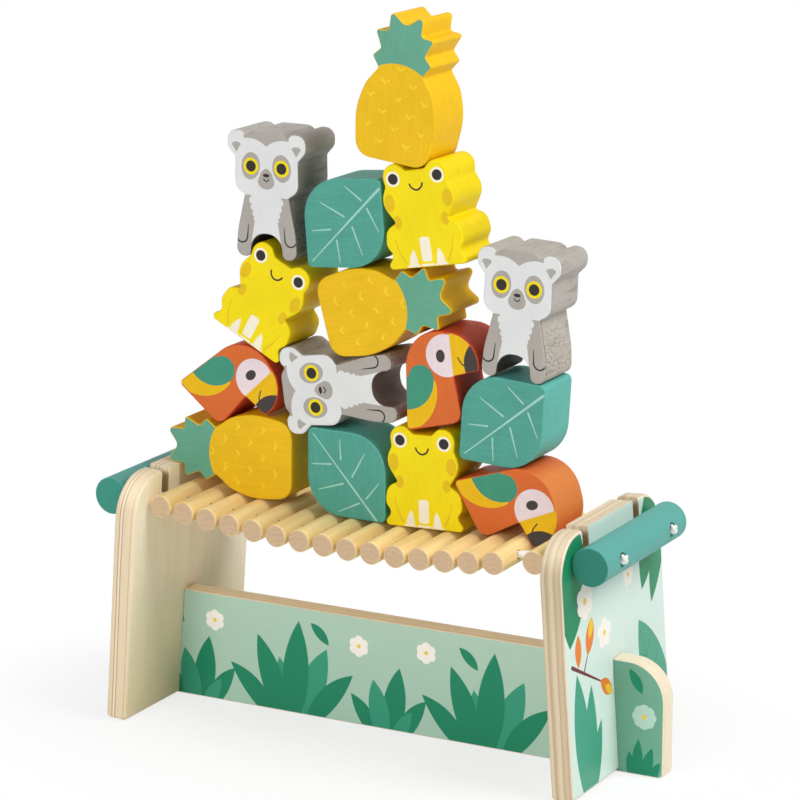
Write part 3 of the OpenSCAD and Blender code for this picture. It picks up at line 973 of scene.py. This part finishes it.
def cord_route(y):
    """A cord's line from knot to knot, through bars, slots and dowels."""
    outs = (KNOT_SEAT + 0.8, BAR_OUT, PANEL_T + 1, 1.0)
    points = [on_panel(-1, out, CORD_BED) for out in outs]
    points += [Vector((c.x, 0, c.z)) for c in dowel_centres()]
    points += [on_panel(1, out, CORD_BED) for out in reversed(outs)]
    fine = []
    for a, b in zip(points, points[1:]):
        steps = max(1, round((b - a).length / CORD_STEP))
        fine += [a.lerp(b, k / steps) for k in range(steps)]
    fine.append(points[-1])
    return [Vector((p.x, y, p.z)) for p in fine]


def knot_route(side, y):
    """An overhand knot's two turns, pulled tight in its recess."""
    centre = on_panel(side, KNOT_SEAT + 2.6, CORD_BED)
    centre.y = y
    lean = radians(PANEL_LEAN)
    axis = Vector((side * cos(lean), 0, sin(lean)))
    across = Vector((0, 1, 0))
    up = axis.cross(across)
    route = []
    for k in range(KNOT_STEPS + 1):
        t = 2 * pi * k / KNOT_STEPS
        r = KNOT_TURN + KNOT_SWING * cos(3 * t)
        turn = centre + across * (r * cos(2 * t)) + up * (r * sin(2 * t) + KNOT_LIFT)
        route.append(turn + axis * (KNOT_DEPTH * sin(3 * t)))
    return route


def make_cords(finish):
    """Both cords in three laid strands in place of the plain solids, with their knots."""
    for word, y in zip(("front", "rear"), CORD_YS):
        cord = sweep("cord_" + word + "_laid", cord_route(y), CORD_D / 2, sides=12, twist=0.9,
                     strands=3, depth=0.14)
        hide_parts("cord_" + word)
        pieces = [cord]
        for side, end in ((-1, "left"), (1, "right")):
            pieces.append(sweep(f"knot_{word}_{end}", knot_route(side, y), KNOT_STRAND, sides=10,
                                twist=1.6, strands=3, depth=0.12))
        for piece in pieces:
            dress(piece, finish)
            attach(piece, BODY)


# Putting it together

for name in PILE:
    kind = name.split("_")[0]
    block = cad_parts[name]
    dress(block, BLOCK_FINISHES[kind](name))
    for polygon in block.data.polygons:
        polygon.use_smooth = True
    round_block(block)

for side in (-1, 1):
    shape_end_panel(side)
shape_cross_panel()

bar_paint = anchor_bar_finish()
for word in ("left", "right"):
    dress(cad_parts["anchor_bar_" + word], bar_paint)

for number, centre in enumerate(dowel_centres(), 1):
    dress(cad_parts[f"dowel_{number:02d}"], dowel_finish(number, centre * MM))

make_cords(cord_finish())


# Floor, light and camera

def is_seen(tree):
    """1 for rays from the camera, also by way of a mirror or a pane."""
    ray = tree.nodes.new("ShaderNodeLightPath")
    total = ray.outputs["Is Camera Ray"]
    for word in ("Is Glossy Ray", "Is Transmission Ray"):
        either = tree.nodes.new("ShaderNodeMath")
        either.operation = "MAXIMUM"
        tree.links.new(total, either.inputs[0])
        tree.links.new(ray.outputs[word], either.inputs[1])
        total = either.outputs[0]
    return total


PAPER = (0.94, 0.94, 0.945, 1.0)
WHITE = (1.0, 1.0, 1.0, 1.0)
SHADOW_KEPT = 70.0  # millimetres from the middle within which the shadow stays
SHADOW_GONE = 165.0  # where the floor has run out to white
FLOOR_SIZE = 8.0
FLOOR_DROP = 0.0002  # keeps the floor just clear of the toy's feet


def floor_finish():
    """Pale paper that keeps a soft shadow near the toy and runs out to white."""
    f = Finish("floor_paper", roughness=0.9, Specular_IOR_Level=0.2)
    at = f.local()
    tooth = f.noise(at, 0.02, 2.0)
    f.finish(f.scaled(PAPER, f.span(tooth, 0.3, 0.7, 0.995, 1.0)))
    spread = f.vector("LENGTH", f.vector("MULTIPLY", at, (0.8, 1.1, 0.0)), out=1)
    share = f.span(spread, SHADOW_KEPT, SHADOW_GONE, 0.7, 1.0) * Val(f, is_seen(f.tree))
    white = f.node("ShaderNodeEmission", values={"Color": WHITE, "Strength": 1.0})
    paper = Val(f, f.shader.outputs[0])
    both = f.node("ShaderNodeMixShader", values={0: share, 1: paper, 2: white})
    f.feed(f.tree.nodes["Material Output"].inputs["Surface"], both)
    return f.material


bpy.ops.mesh.primitive_plane_add(size=FLOOR_SIZE, location=(0, 0, -FLOOR_DROP))
floor = bpy.context.active_object
floor.name = "floor"
floor.data.materials.append(floor_finish())


def softbox(name, where, aim, size, watts, colour):
    """A round area light that looks at a point."""
    data = bpy.data.lights.new(name, "AREA")
    data.shape = "DISK"
    data.size = size
    data.energy = watts
    data.color = colour
    lamp = bpy.data.objects.new(name, data)
    lamp.location = where
    lamp.rotation_euler = (Vector(aim) - Vector(where)).to_track_quat("-Z", "Y").to_euler()
    bpy.context.scene.collection.objects.link(lamp)


softbox("key_softbox", where=(1.35, 0.1, 1.55), aim=(0, 0, 0.12), size=1.2, watts=30.5,
        colour=(1.0, 0.995, 0.985))
softbox("front_softbox", where=(-0.2, -1.9, 0.9), aim=(0, 0, 0.14), size=1.5, watts=23.6,
        colour=(0.99, 0.995, 1.0))

FILL_LIGHT = 0.19  # what the surroundings give the toy
BACKDROP = 1.0  # how bright they look behind it


def background(tree, strength):
    """A white background's output."""
    made = tree.nodes.new("ShaderNodeBackground")
    made.inputs["Color"].default_value = WHITE
    made.inputs["Strength"].default_value = strength
    return made.outputs[0]


def light_surroundings():
    """White all round: dim as light, bright where the camera sees it."""
    world = bpy.data.worlds.new("studio")
    bpy.context.scene.world = world
    world.use_nodes = True
    tree = world.node_tree
    tree.nodes.clear()
    either = tree.nodes.new("ShaderNodeMixShader")
    out = tree.nodes.new("ShaderNodeOutputWorld")
    sources = (is_seen(tree), background(tree, FILL_LIGHT), background(tree, BACKDROP))
    for source, socket in zip(sources, either.inputs):
        tree.links.new(source, socket)
    tree.links.new(either.outputs[0], out.inputs["Surface"])


light_surroundings()

# The camera: where it stands in metres, where it looks, and its lens in the picture's pixels
CAMERA_PLACE = (0.6464, -1.1972, 0.4834)
AZIMUTH = radians(28.12)
DOWN = radians(13.91)
FOCAL_PX = 3289.0
FRAME_PX = 800.0
SENSOR = 36.0
right = Vector((cos(AZIMUTH), sin(AZIMUTH), 0))
back = Vector((sin(AZIMUTH) * cos(DOWN), -cos(AZIMUTH) * cos(DOWN), sin(DOWN)))
up = back.cross(right)
camera_data = bpy.data.cameras.new("camera")
camera_data.sensor_width = SENSOR
camera_data.lens = FOCAL_PX / FRAME_PX * SENSOR
camera_data.clip_start = 0.05
camera = bpy.data.objects.new("camera", camera_data)
turned = Matrix((right, up, back)).transposed().to_4x4()
camera.matrix_world = Matrix.Translation(CAMERA_PLACE) @ turned
bpy.context.scene.collection.objects.link(camera)
bpy.context.scene.camera = camera
bpy.context.scene.view_settings.view_transform = "Standard"
